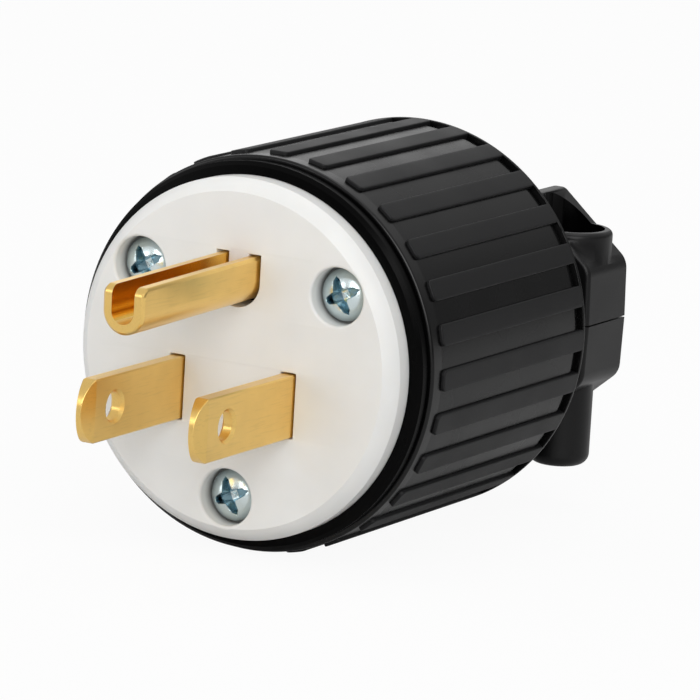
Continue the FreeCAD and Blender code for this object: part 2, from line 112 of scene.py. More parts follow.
class ShellSizes(bpy.types.PropertyGroup):
    """Sizes of the ribbed shell and of the cord clamp behind it."""

    radius: length("Front radius", "Outer radius of the smooth front band", 19.95)
    wall: length("Wall", "Thickness of the shell's wall", 2.8)
    groove_r: length("Groove radius", "Bottom of the dark groove behind the lip", 19.05)
    mouth: length("Mouth", "Front end of the shell, from the mating face", 4.4)
    front: length("Front edge", "Front of the shell's band, from the mating face", 4.74)
    floor_r: length("Floor radius", "Floor between the ribs where it meets the rim", 19.64)
    floor_run: length("Floor run", "Length of the floor's fall in front of the rim", 1.45)
    rib_top: length("Rib top", "Radius of the ribs' tops and of the rim", 20.3)
    rib_start: length("Rib start", "Front end of the ribs", 6.5)
    rib_width: length("Rib width", "Width of one rib", 2.2)
    rib_corner: length("Rib corner", "Rounding of a rib's front corners", 0.55)
    rib_edge: length("Rib edge", "Rounding of a rib's top edges", 0.14)
    rib_count: IntProperty(name="Ribs", description="Number of ribs round the shell", default=28, min=3)
    rim_front: length("Rim front", "Front of the thin rim that closes the gaps", 35.95)
    rim_back: length("Rim back", "Rear of the thin rim", 36.35)
    shoulder_back: length("Shoulder back", "Flat rear end of the shell", 41.7)
    shoulder_r: length("Shoulder radius", "Radius where the rear shoulder meets the flat end", 12.0)
    shoulder_bulge: length("Shoulder bulge", "Height of the rear shoulder's arc over its chord", 1.5)
    neck_r: length("Neck radius", "Outer radius of the neck inside the clamp", 7.8)
    bore_r: length("Neck bore", "Radius of the way through the neck", 6.5)
    ring_r: length("Ring radius", "Radius of the ring that the clamp closes over", 8.8)
    ring_width: length("Ring width", "Width of that ring", 1.5)
    ring_back: length("Ring back", "Rear end of the neck", 45.8)
    post_r: length("Post radius", "Radius of a screw post inside the shell", 3.6)
    post_front: length("Post front", "Front end of the screw posts", 23.1)
    clamp_middle: length("Clamp middle", "Middle of the cord clamp along the plug", 46.9)
    clamp_screw_at: length("Clamp screws", "Distance of the clamp's screws from the plug's axis", 12.75)
    pocket_r: length("Pocket radius", "Radius of the pocket that a clamp screw's head sits in", 3.35)


class FaceSizes(bpy.types.PropertyGroup):
    """Sizes of the white cover and of what stands in it."""

    radius: length("Cover radius", "Outer radius of the white cover", 18.18)
    thick: length("Cover thickness", "Thickness of the white cover", 4.0)
    edge: length("Cover edge", "Rounding of the mating face's outer edge", 1.3)
    slot_edge: length("Slot edge", "Rounding of the slots' mouths", 0.1)
    recess_edge: length("Recess edge", "Rounding of the screw recesses' mouths", 0.3)
    recess_r: length("Recess radius", "Radius of a screw recess", 2.9)
    recess_deep: length("Recess depth", "Depth of a screw recess", 2.4)
    screw_hole_r: length("Screw hole", "Radius of a screw's way through the cover", 1.7)
    screw_circle: length("Screw circle", "Distance of the screws from the plug's axis", 13.83)
    screw_angle: turn("Screw angle", "Height of the two upper screws above the plug's sides", 35.5)
    blade_pitch: length("Blade pitch", "Distance between the flat blades", 12.7)
    blade_drop: length("Blade drop", "Flat blades below the plug's axis", 3.53)
    blade_width: length("Blade width", "Width of a flat blade", 6.35)
    blade_thick: length("Blade thickness", "Thickness of a flat blade", 1.52)
    blade_gap: length("Blade gap", "Room round a flat blade in the cover", 0.12)
    pin_z: length("Pin height", "Middle of the grounding pin's fold above the axis", 8.36)
    pin_r: length("Pin radius", "Outer radius of the fold", 2.32)
    pin_wall: length("Pin wall", "Thickness of the folded sheet", 1.06)
    pin_rise: length("Pin rise", "Straight wall above the middle of the fold", 2.45)
    pin_gap: length("Pin gap", "Room beside the grounding pin in the cover", 0.21)
    pin_low: length("Pin low", "More room under the grounding pin", 0.38)
    pin_over: length("Pin over", "Room over the grounding pin's walls", 0.1)
    tongue_gap: length("Tongue gap", "Room round the cover's tongue inside the pin", 0.14)


class PlugColours(bpy.types.PropertyGroup):
    """Colours of the plug's materials."""

    white: colour("White nylon", "Colour of the white cover", "#E0E0DE")
    black: colour("Black nylon", "Colour of the black shell and clamp", "#121213")
    brass: colour("Rolled brass", "Colour of the blades and of the pin", "#F8D07C")
    # The pin's inside is painted deeper and more orange, as shade and reflection in the fold.
    brass_inside: colour("Brass inside the fold", "Colour of the pin's inside, which no brush reaches",
                         "#F5C455")
    turned_brass: colour("Turned brass", "Colour of the inserts and of the line screw", "#D9AE55")
    zinc: colour("Zinc plate", "Colour of the plated screws and plates", "#DFECEE")
    green: colour("Green plate", "Colour of the grounding screw", "#2E6B3A")
    floor: colour("Floor", "Colour of the floor", "#D4D4D4")


class StageSettings(bpy.types.PropertyGroup):
    """The floor, the light and the camera."""

    floor_size: length("Floor size", "Radius of the floor", 4000.0)
    lens: FloatProperty(name="Lens", description="Focal length on a 36 mm sensor", default=312.94,
                        unit="CAMERA")


def node(tree, kind, values=None, **settings):
    """Adds a node with its settings. Values go by socket name or index: numbers or other nodes' outputs."""
    made = tree.nodes.new(kind)
    for key, value in settings.items():
        setattr(made, key, value)
    for key, value in (values or {}).items():
        if isinstance(value, bpy.types.NodeSocket):
            tree.links.new(value, made.inputs[key])
        else:
            made.inputs[key].default_value = value
    return made


def empty_tree(owner):
    """The node tree of a new material or world, with nothing in it."""
    owner.use_nodes = True
    owner.node_tree.nodes.clear()
    return owner.node_tree


def material(name):
    """A new node material: its tree, its shader and its Object coordinates."""
    tree = empty_tree(bpy.data.materials.new(name))
    shader = node(tree, "ShaderNodeBsdfPrincipled")
    node(tree, "ShaderNodeOutputMaterial", {"Surface": shader.outputs[0]})
    return tree, shader, node(tree, "ShaderNodeTexCoord").outputs["Object"]


def moulded_black_nylon(name, roughness, grain_depth, shade, level):
    """Black glass-filled nylon as it leaves its mould, whose fine even grain breaks up the reflections.

    The grain's depth is in millimetres, shade scales the colour, and level is the shader's specular level.
    """
    tree, shader, place = material(name)
    black = [c * shade for c in bpy.context.scene.plug_colours.black]
    # Plain nylon has 1.53 and a level of 0.5. The fibres and soot at the skin swallow part of the reflection.
    shader.inputs["IOR"].default_value = 1.40
    shader.inputs["Specular IOR Level"].default_value = level
    # 0.2 mm between grains, about twice the real one, so that it still shows in a picture of 700 pixels.
    grain = node(tree, "ShaderNodeTexNoise", {"Vector": place, "Scale": 1 / (0.2 * MM), "Detail": 2.0,
                                              "Roughness": 0.6})
    # Slow patches of 6 mm, where the melt filled the mould a little glossier.
    patches = node(tree, "ShaderNodeTexNoise", {"Vector": place, "Scale": 1 / (6 * MM), "Detail": 1.0})
    tint = node(tree, "ShaderNodeMapRange", {**NOISE_SPAN, "Value": patches.outputs["Fac"],
                                             "To Min": 0.9, "To Max": 1.1})
    colours = node(tree, "ShaderNodeVectorMath", {0: black[:3], "Scale": tint.outputs[0]}, operation="SCALE")
    tree.links.new(colours.outputs[0], shader.inputs["Base Color"])
    uneven = 0.03
    gloss = node(tree, "ShaderNodeMapRange", {**NOISE_SPAN, "Value": patches.outputs["Fac"],
                                              "To Min": roughness - uneven, "To Max": roughness + uneven})
    tree.links.new(gloss.outputs[0], shader.inputs["Roughness"])
    bump = node(tree, "ShaderNodeBump", {"Strength": 1.0, "Distance": grain_depth * MM,
                                         "Height": grain.outputs["Fac"]})
    tree.links.new(bump.outputs[0], shader.inputs["Normal"])


def moulded_white_nylon():
    """White nylon from a fine-ground mould: satin, with a faint waviness and slightly see-through edges."""
    tree, shader, place = material("moulded_white_nylon")
    white = bpy.context.scene.plug_colours.white
    shader.inputs["IOR"].default_value = 1.53
    shader.inputs["Roughness"].default_value = 0.42
    shader.inputs["Subsurface Weight"].default_value = 0.15
    shader.inputs["Subsurface Radius"].default_value = (1.0, 0.8, 0.6)
    shader.inputs["Subsurface Scale"].default_value = 0.6 * MM
    # Flow marks about 5 mm wide, only a few shades apart.
    flow = node(tree, "ShaderNodeTexNoise", {"Vector": place, "Scale": 1 / (5 * MM), "Detail": 2.0})
    tint = node(tree, "ShaderNodeMapRange", {**NOISE_SPAN, "Value": flow.outputs["Fac"],
                                             "To Min": 0.975, "To Max": 1.015})
    # Painted shade: the screw recesses are darker towards their bottom.
    sunk = node(tree, "ShaderNodeAttribute", attribute_name="sunk").outputs["Fac"]
    unshaded = node(tree, "ShaderNodeMapRange", {"Value": sunk, "To Min": 1.0, "To Max": 0.3}).outputs[0]
    level = node(tree, "ShaderNodeMath", {0: tint.outputs[0], 1: unshaded}, operation="MULTIPLY").outputs[0]
    colours = node(tree, "ShaderNodeVectorMath", {0: white[:3], "Scale": level}, operation="SCALE")
    tree.links.new(colours.outputs[0], shader.inputs["Base Color"])
    # Grain of 0.25 mm and 4 micrometres deep.
    grain = node(tree, "ShaderNodeTexNoise", {"Vector": place, "Scale": 1 / (0.25 * MM), "Detail": 2.0})
    bump = node(tree, "ShaderNodeBump", {"Strength": 1.0, "Distance": 0.004 * MM,
                                         "Height": grain.outputs["Fac"]})
    tree.links.new(bump.outputs[0], shader.inputs["Normal"])


def metal(name, tone, roughness, streak, depth, spread, wear=0.0):
    """A metal with marks from how it was worked.

    Streak is the marks' size along X, Y and Z and depth their depth, in millimetres. Spread and wear are the
    shares of the tone that stains and rub marks take away at most.
    """
    tree, shader, place = material(name)
    shader.inputs["Metallic"].default_value = 1.0
    stretched = node(tree, "ShaderNodeMapping", {"Vector": place,
                                                 "Scale": tuple(1 / (s * MM) for s in streak)}).outputs[0]
    marks = node(tree, "ShaderNodeTexNoise", {"Vector": stretched, "Scale": 1.0, "Detail": 1.0})
    # Stains of 3 mm, where handling has dulled the metal.
    stains = node(tree, "ShaderNodeTexNoise", {"Vector": place, "Scale": 1 / (3 * MM), "Detail": 3.0})
    tint = node(tree, "ShaderNodeMapRange", {**NOISE_SPAN, "Value": stains.outputs["Fac"],
                                             "To Min": 1 - spread, "To Max": 1.0})
    # Rub marks half as wide and a third as long as the worked marks, darker where sockets scraped the metal.
    shrunk = node(tree, "ShaderNodeVectorMath", {0: stretched, 1: (2, 3, 2)}, operation="MULTIPLY")
    scrapes = node(tree, "ShaderNodeTexNoise", {"Vector": shrunk.outputs[0], "Scale": 1.0, "Detail": 1.0})
    worn = node(tree, "ShaderNodeMapRange", {"Value": scrapes.outputs["Fac"], "From Min": 0.3, "From Max": 0.45,
                                             "To Min": 1 - wear, "To Max": 1.0})
    shade = node(tree, "ShaderNodeMath", {0: tint.outputs[0], 1: worn.outputs[0]}, operation="MULTIPLY")
    colours = node(tree, "ShaderNodeVectorMath", {0: tone[:3], "Scale": shade.outputs[0]}, operation="SCALE")
    # Painted shade in a driver's cross: bluer and darker inside it, and black at its points.
    # Pieces that don't have the attribute keep their own colour.
    sunk = node(tree, "ShaderNodeAttribute", attribute_name="sunk").outputs["Fac"]
    shades = node(tree, "ShaderNodeValToRGB", {0: sunk})
    own, bluish, painted_black = (1, 1, 1, 1), (0.30, 0.43, 0.50, 1), (0.02, 0.03, 0.04, 1)
    ramp = shades.color_ramp.elements
    ramp[0].color, ramp[1].color = own, painted_black
    ramp.new(0.5).color = bluish
    both = node(tree, "ShaderNodeVectorMath", {0: colours.outputs[0], 1: shades.outputs[0]},
                operation="MULTIPLY")
    tree.links.new(both.outputs[0], shader.inputs["Base Color"])
    uneven = 0.01
    gloss = node(tree, "ShaderNodeMapRange", {**NOISE_SPAN, "Value": marks.outputs["Fac"],
                                              "To Min": roughness - uneven, "To Max": roughness + uneven})
    tree.links.new(gloss.outputs[0], shader.inputs["Roughness"])
    bump = node(tree, "ShaderNodeBump", {"Strength": 1.0, "Distance": depth * MM,
                                         "Height": marks.outputs["Fac"]})
    tree.links.new(bump.outputs[0], shader.inputs["Normal"])


def materials():
    """Every finish of the plug by its name, made at the first call."""
    if "rolled_brass" in bpy.data.materials:
        return bpy.data.materials
    tones = bpy.context.scene.plug_colours
    # The ribs come from a spark-eroded mould with the coarsest grain, and look matt and greyest.
    moulded_black_nylon("grained_black_nylon", roughness=0.50, grain_depth=0.012, shade=1.0, level=0.36)
    # The band, the rear shoulder and the neck come from a polished mould, and look glossy and deep.
    moulded_black_nylon("smooth_black_nylon", roughness=0.22, grain_depth=0.002, shade=0.2, level=0.45)
    # The clamp comes from a finely blasted mould, with a soft sheen.
    moulded_black_nylon("satin_black_nylon", roughness=0.38, grain_depth=0.005, shade=0.6, level=0.4)
    # A darker copy, painted almost black as shade, for the lip round the cover and the clamp's pockets, which
    # face little light.
    moulded_black_nylon("deep_black_nylon", roughness=0.25, grain_depth=0.002, shade=0.1, level=0.08)
    # The floors between the ribs, where the mould is smoother than at the ribs' tops but still dull.
    moulded_black_nylon("dull_black_nylon", roughness=0.26, grain_depth=0.004, shade=0.2, level=0.3)
    moulded_white_nylon()
    # Rolled and lightly brushed brass sheet: a soft sheen drawn out along the blades, with faint rub marks.
    metal("rolled_brass", tones.brass, roughness=0.29, streak=(0.35, 9.0, 0.35), depth=0.00007, spread=0.06,
          wear=0.06)
    # The same sheet inside the fold, unbrushed, with short marks from the bending tool. Its deeper, more orange
    # tone is painted shade and painted reflection from the brass round it.
    metal("folded_brass_inside", tones.brass_inside, roughness=0.24, streak=(0.4, 3.0, 0.4), depth=0.0005,
          spread=0.04)
    # Turned brass rod: rings too fine to see, so only a slight unevenness is left.
    metal("turned_brass", tones.turned_brass, roughness=0.25, streak=(0.3, 0.15, 0.3), depth=0.003, spread=0.08)
    # Cold-headed steel with bright zinc plate: smooth and bluish, with a little ripple.
    metal("bright_zinc_plate", tones.zinc, roughness=0.26, streak=(0.6, 0.6, 0.6), depth=0.008, spread=0.06)
    # The same screw with green plate, which marks the grounding terminal.
    metal("green_plate", tones.green, roughness=0.30, streak=(0.6, 0.6, 0.6), depth=0.008, spread=0.12)
    return bpy.data.materials


def arc(centre, radius, start, end, count):
    """Points on an arc in a plane, from one angle to another in degrees, both ends included."""
    return [(centre[0] + radius * math.cos(math.radians(start + (end - start) * k / count)),
             centre[1] + radius * math.sin(math.radians(start + (end - start) * k / count)))
            for k in range(count + 1)]


def bulged(start, end, bulge, count):
    """Points of a shallow arc that stands a given height over its chord, to the left on the way to its end."""
    start, end = Vector(start), Vector(end)
    chord = end - start
    side = Vector((-chord.y, chord.x)).normalized()
    return [tuple(start + chord * t + side * bulge * 4 * t * (1 - t))
            for t in (k / count for k in range(count + 1))]


def circle(middle, radius, count, clockwise=False):
    """Points on a circle in a plane."""
    way = -1 if clockwise else 1
    return [(middle[0] + radius * math.cos(way * 2 * math.pi * k / count),
             middle[1] + radius * math.sin(way * 2 * math.pi * k / count)) for k in range(count)]


def bridged(bm, a, b):
    """Joins two closed rings of as many points by smooth faces with four corners."""
    for i in range(len(a)):
        j = (i + 1) % len(a)
        bm.faces.new((a[i], a[j], b[j], b[i])).smooth = True


def turned(bm, profile, segments):
    """Adds the closed ring that a closed (radius, y) outline sweeps about the plug's axis."""
    rings = []
    for k in range(segments):
        angle = 2 * math.pi * k / segments
        rings.append([bm.verts.new((r * math.cos(angle), y, r * math.sin(angle))) for r, y in profile])
    for k in range(segments):
        bridged(bm, rings[k], rings[(k + 1) % segments])


def offset(outline, distance):
    """A closed outline moved to its left by a distance, its corners mitred."""
    moved = []
    for i, point in enumerate(outline):
        before = Vector(outline[i - 1])
        here = Vector(point)
        after = Vector(outline[(i + 1) % len(outline)])
        a, b = (here - before).normalized(), (after - here).normalized()
        left_a, left_b = Vector((-a.y, a.x)), Vector((-b.y, b.x))
        moved.append(tuple(here + (left_a + left_b) * (distance / (1 + left_a.dot(left_b)))))
    return moved


def rounding(radius, count):
    """Steps (inset, depth) of a rounded edge from a flat face down into a wall."""
    angles = [math.pi / 2 * k / count for k in range(count + 1)]
    return [(radius * (1 - math.sin(angle)), radius * (1 - math.cos(angle))) for angle in angles]


def plate(bm, outlines, place):
    """Adds a closed plate. Each outline has the material on its left, and comes with its (inset, depth) steps.

    Place turns a point of the outline's plane and a depth into a point in space.
    """
    first, last = [], []
    for outline, steps in outlines:
        rings = []
        for inset, depth in steps:
            flat = offset(outline, inset)
            rings.append([bm.verts.new(place(u, v, depth)) for u, v in flat])
        for a, b in zip(rings, rings[1:]):
            bridged(bm, a, b)
        first.append((rings[0], offset(outline, steps[0][0])))
        last.append((rings[-1], offset(outline, steps[-1][0])))
    for side in (first, last):
        verts = [v for ring, _ in side for v in ring]
        flat = [[Vector((u, v, 0)) for u, v in points] for _, points in side]
        for corners in tessellate_polygon(flat):
            bm.faces.new([verts[c] for c in corners]).smooth = False


def made_object(bm, name, sharp=32):
    """Turns a bmesh into an object with outward faces, creased where they meet at more than sharp degrees."""
    bmesh.ops.recalc_face_normals(bm, faces=bm.faces)
    mesh = bpy.data.meshes.new(name)
    bm.to_mesh(mesh)
    bm.free()
    mesh.set_sharp_from_angle(angle=math.radians(sharp))
    made = bpy.data.objects.new(name, mesh)
    bpy.context.scene.collection.objects.link(made)
    return made


def softened(name, cad_node, sharp=32, bevel=0.0):
    """A copy of a CAD node: merged points, smooth round faces and, with a bevel, slightly broken edges."""
    same_point = 0.002 * MM
    same_plane = math.radians(0.5)
    bm = bmesh.new()
    bm.from_mesh(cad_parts[cad_node].data)
    bmesh.ops.remove_doubles(bm, verts=bm.verts, dist=same_point)
    bmesh.ops.dissolve_limit(bm, angle_limit=same_plane, verts=bm.verts, edges=bm.edges)
    for face in bm.faces:
        face.smooth = True
    made = made_object(bm, name, sharp)
    if bevel:
        soft = made.modifiers.new("Broken edges", "BEVEL")
        soft.width = bevel
        soft.segments = 2
        soft.limit_method = "ANGLE"
        soft.angle_limit = math.radians(50)
        soft.harden_normals = True
    return made


def flat_faced(piece):
    """Lets the large faces keep their own normals, so that they look flat beside rounded edges."""
    even = piece.modifiers.new("Flat faces", "WEIGHTED_NORMAL")
    even.keep_sharp = True
    return piece


def second_finish(piece, finish, chosen):
    """Gives a dressed piece another material on the faces whose middle passes a test."""
    piece.data.materials.append(materials()[finish])
    for face in piece.data.polygons:
        if chosen(face.center, face.normal):
            face.material_index = 1


def dress(piece, finish, nodes):
    """Gives a piece its material and its body, and hides the CAD nodes that it stands for."""
    if finish:
        piece.data.materials.clear()
        piece.data.materials.append(materials()[finish])
    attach(piece, BODY)
    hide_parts(*nodes)


def geometry_tree(name, inputs):
    """A geometry node tree with named inputs. Returns it, its group input node and its sockets by name."""
    tree = bpy.data.node_groups.new(name, "GeometryNodeTree")
    tree.interface.new_socket("Geometry", in_out="INPUT", socket_type="NodeSocketGeometry")
    tree.interface.new_socket("Geometry", in_out="OUTPUT", socket_type="NodeSocketGeometry")
    sockets = {n: tree.interface.new_socket(n, in_out="INPUT", socket_type=kind) for n, kind in inputs.items()}
    return tree, node(tree, "NodeGroupInput"), sockets


def set_copies(tree, start, points, rotation):
    """Ends a tree: the object's own mesh at each point, turned, then made real and given its material."""
    copies = node(tree, "GeometryNodeInstanceOnPoints", {"Points": points, "Rotation": rotation,
                                                         "Instance": start.outputs["Geometry"]})
    solid = node(tree, "GeometryNodeRealizeInstances", {"Geometry": copies.outputs[0]})
    done = node(tree, "GeometryNodeSetMaterial", {"Geometry": solid.outputs[0],
                                                  "Material": start.outputs["Material"]})
    node(tree, "NodeGroupOutput", {"Geometry": done.outputs[0]})


def ring_tree():
    """Repeats the object's own mesh round the plug's axis."""
    tree, start, sockets = geometry_tree("Round the shell", {
        "Count": "NodeSocketInt", "First": "NodeSocketFloat", "Material": "NodeSocketMaterial"})
    points = node(tree, "GeometryNodePoints", {"Count": start.outputs["Count"]})
    pitch = node(tree, "ShaderNodeMath", {0: -2 * math.pi, 1: start.outputs["Count"]}, operation="DIVIDE")
    index = node(tree, "GeometryNodeInputIndex")
    angle = node(tree, "ShaderNodeMath", {0: index.outputs[0], 1: pitch.outputs[0], 2: start.outputs["First"]},
                 operation="MULTIPLY_ADD")
    spin = node(tree, "ShaderNodeCombineXYZ", {"Y": angle.outputs[0]})
    set_copies(tree, start, points.outputs[0], spin.outputs[0])
    return tree, sockets


def seat_tree():
    """Sets the object's own mesh on three seats of the mating face, each with a turn of its own."""
    tree, start, sockets = geometry_tree("Screws on their seats", {
        "Circle": "NodeSocketFloat", "Angle": "NodeSocketFloat", "Spin": "NodeSocketFloat",
        "Seed": "NodeSocketInt", "Material": "NodeSocketMaterial"})
    points = node(tree, "GeometryNodePoints", {"Count": 3})
    index = node(tree, "GeometryNodeInputIndex").outputs[0]
    # Seat 0 is at the angle, seat 1 opposite it at 180 degrees less, and seat 2 straight below.
    other = node(tree, "ShaderNodeMath", {0: math.pi, 1: start.outputs["Angle"]},
                 operation="SUBTRACT").outputs[0]
    is_second = node(tree, "ShaderNodeMath", {0: index, 1: 1.0, 2: 0.1}, operation="COMPARE").outputs[0]
    is_third = node(tree, "ShaderNodeMath", {0: index, 1: 2.0, 2: 0.1}, operation="COMPARE").outputs[0]
    upper = node(tree, "ShaderNodeMix", {0: is_second, 2: start.outputs["Angle"], 3: other}).outputs[0]
    angle = node(tree, "ShaderNodeMix", {0: is_third, 2: upper, 3: 1.5 * math.pi}).outputs[0]
    across = node(tree, "ShaderNodeMath", {0: angle}, operation="COSINE").outputs[0]
    up = node(tree, "ShaderNodeMath", {0: angle}, operation="SINE").outputs[0]
    way = node(tree, "ShaderNodeCombineXYZ", {"X": across, "Z": up}).outputs[0]
    seat = node(tree, "ShaderNodeVectorMath", {0: way, "Scale": start.outputs["Circle"]},
                operation="SCALE").outputs[0]
    set_out = node(tree, "GeometryNodeSetPosition", {"Geometry": points.outputs[0], "Position": seat})
    # Each screw stops up to this many radians before or past the common turn.
    most = 0.09
    uneven = node(tree, "FunctionNodeRandomValue", {2: -most, 3: most, "ID": index,
                                                    "Seed": start.outputs["Seed"]})
    spin = node(tree, "ShaderNodeMath", {0: start.outputs["Spin"], 1: uneven.outputs[1]},
                operation="ADD").outputs[0]
    about = node(tree, "ShaderNodeCombineXYZ", {"Y": spin})
    set_copies(tree, start, set_out.outputs[0], about.outputs[0])
    return tree, sockets


def grown(source, name, made, values):
    """Runs a geometry node tree on an object and leaves the result as a plain mesh in its place."""
    tree, sockets = made
    grower = source.modifiers.new(tree.name, "NODES")
    grower.node_group = tree
    for key, value in values.items():
        grower[sockets[key].identifier] = value
    bpy.context.view_layer.update()
    graph = bpy.context.evaluated_depsgraph_get()
    mesh = bpy.data.meshes.new_from_object(source.evaluated_get(graph), depsgraph=graph)
    source.modifiers.clear()
    bpy.data.objects.remove(source)
    mesh.name = name
    piece = bpy.data.objects.new(name, mesh)
    bpy.context.scene.collection.objects.link(piece)
    return piece


def shell_profile(s):
    """The shell's closed outline: groove, front band, floor, rim, rear shoulder, neck and the room inside."""
    # Roundings of the thin edges and of the front band's edge.
    small = 0.08 * MM
    band = 0.3 * MM
    outer = [(s.groove_r, s.mouth), (s.groove_r, s.front)]
    outer += arc((s.radius - band, s.front + band), band, -90, 0, 5)
    outer += [(s.radius, s.rib_start), (s.radius, s.rim_front - s.floor_run), (s.floor_r, s.rim_front)]
    outer += arc((s.rib_top - small, s.rim_front + small), small, 270, 360, 3)
    outer += arc((s.rib_top - small, s.rim_back - small), small, 0, 60, 3)
    # The rear shoulder starts a little inside the rim.
    behind = (s.rib_top - 0.5 * MM, s.rim_back + 0.25 * MM)
    outer += bulged(behind, (s.shoulder_r, s.shoulder_back), -s.shoulder_bulge, 18)
    front_of_ring = s.ring_back - s.ring_width
    outer += [(s.neck_r, s.shoulder_back), (s.neck_r, front_of_ring), (s.ring_r - small, front_of_ring),
              (s.ring_r, front_of_ring + small), (s.ring_r, s.ring_back - small),
              (s.ring_r - small, s.ring_back)]
    cavity = s.radius - s.wall
    end = (s.shoulder_r - s.wall / 2, s.shoulder_back - s.wall)
    turn_in = (cavity, s.rim_back - s.wall / 2)
    inner = [(s.bore_r, s.ring_back), (s.bore_r, end[1])]
    inner += bulged(end, turn_in, s.shoulder_bulge, 12)
    inner += [(cavity, s.mouth)]
    return outer + inner


def rib_form(s):
    """One rib on top of the shell, at angle 0: a pad with rounded front corners and rounded top edges."""
    half = s.rib_width / 2
    corner = s.rib_corner
    edge = s.rib_edge
    # It runs a little into the rim and stands well down in the shell's wall.
    back = s.rim_front + 0.15 * MM
    bottom = s.rib_top - 1.2 * MM

    def half_width(y):
        into = min(y - s.rib_start, corner)
        return half - corner + math.sqrt(max(corner ** 2 - (corner - into) ** 2, 0.0))

    def depth_inside(x, y):
        """Distance from the pad's outline, inwards."""
        ahead, aside = corner - (y - s.rib_start), abs(x) - (half - corner)
        if ahead > 0 and aside > 0:
            return corner - math.hypot(ahead, aside)
        return min(half - abs(x), y - s.rib_start)

    # Rows and columns of points lie close together in the rounded edge and far apart on the flat top.
    shares = (0.0, 0.1, 0.3, 0.6, 1.0)
    rows = [s.rib_start + edge * k for k in shares]
    rows += [s.rib_start + edge + (corner - edge) * k / 4 for k in range(1, 5)]
    rows += [s.rib_start + corner + (back - s.rib_start - corner) * k / 6 for k in range(1, 7)]
    bm = bmesh.new()
    grid = []
    for y in rows:
        width = half_width(y)
        places = [-width + min(edge, width) * k for k in shares]
        places += [(-width + min(edge, width)) * (1 - k / 2) for k in (0.5, 1.0, 1.5)]
        places = places + [0.0] + [-x for x in reversed(places)]
        line = []
        for x in places:
            d = max(0.0, min(depth_inside(x, y), edge))
            height = s.rib_top - edge + math.sqrt(max(edge ** 2 - (edge - d) ** 2, 0.0))
            angle = x / s.rib_top
            line.append(bm.verts.new((height * math.cos(angle), y, height * math.sin(angle))))
        grid.append(line)
    for a, b in zip(grid, grid[1:]):
        for i in range(len(a) - 1):
            bm.faces.new((a[i], a[i + 1], b[i + 1], b[i]))
    border = grid[0] + [line[-1] for line in grid[1:]]
    border += grid[-1][-2::-1] + [line[0] for line in grid[-2:0:-1]]
    low = []
    for v in border:
        angle = math.atan2(v.co.z, v.co.x)
        low.append(bm.verts.new((bottom * math.cos(angle), v.co.y, bottom * math.sin(angle))))
    bridged(bm, border, low)
    bm.faces.new(low)
    for face in bm.faces:
        face.smooth = True
    return made_object(bm, "rib_form", sharp=40)


def seats(f):
    """The middles of the three face screws: right, left and bottom."""
    return [(f.screw_circle * math.cos(angle), f.screw_circle * math.sin(angle))
            for angle in (f.screw_angle, math.pi - f.screw_angle, 1.5 * math.pi)]


class PLUG_OT_shell(bpy.types.Operator):
    """Builds the ribbed shell: its turned body, its ribs and its three screw posts"""

    bl_idname = "plug.shell"
    bl_label = "Build the shell"

    def execute(self, context):
        s = context.scene.plug_shell
        f = context.scene.plug_face
        bm = bmesh.new()
        turned(bm, shell_profile(s), s.rib_count * 12)
        body = flat_faced(made_object(bm, "shell_body", sharp=30))
        dress(body, "smooth_black_nylon", ["housing"])
        # The faces between the ribs and on the rim.
        outside = s.floor_r - 0.1 * MM
        second_finish(body, "dull_black_nylon", lambda middle, normal:
                      s.rib_start < middle.y < s.rim_back and math.hypot(middle.x, middle.z) > outside)

        ribs = grown(rib_form(s), "shell_ribs", ring_tree(),
                     {"Count": s.rib_count, "First": 0.0, "Material": materials()["grained_black_nylon"]})
        dress(ribs, None, ["housing"])

        bm = bmesh.new()
        insert_hole = 2.3 * MM
        ends = [(0.0, 0.0), (0.0, s.rim_front - s.post_front)]
        for middle in seats(f):
            outline, hole = circle(middle, s.post_r, 32), circle(middle, insert_hole, 32, clockwise=True)
            plate(bm, [(outline, ends), (hole, ends)], lambda u, v, d: (u, s.post_front + d, v))
        posts = made_object(bm, "shell_posts")
        dress(posts, "smooth_black_nylon", ["housing"])
        return {"FINISHED"}


def box_hole(middle, half_u, half_v, corner):
    """A clockwise rectangle with rounded corners."""
    u, v = middle
    out = []
    for start, su, sv in ((0, 1, 1), (-90, 1, -1), (-180, -1, -1), (-270, -1, 1)):
        centre = (u + su * (half_u - corner), v + sv * (half_v - corner))
        out += arc(centre, corner, start + 90, start, 3)
    return out


def pin_hole(f):
    """The clockwise outline of the slot for the folded pin, with the cover's tongue standing inside it."""
    out_r = f.pin_r + f.pin_gap
    low = f.pin_z - f.pin_low
    top = f.pin_z + f.pin_rise + f.pin_over
    in_r = f.pin_r - f.pin_wall - f.tongue_gap
    outline = [(in_r, top), (out_r, top)]
    outline += arc((0.0, low), out_r, 0, -180, 24)
    outline += [(-out_r, top), (-in_r, top)]
    outline += arc((0.0, f.pin_z), in_r, 180, 360, 16)
    return outline


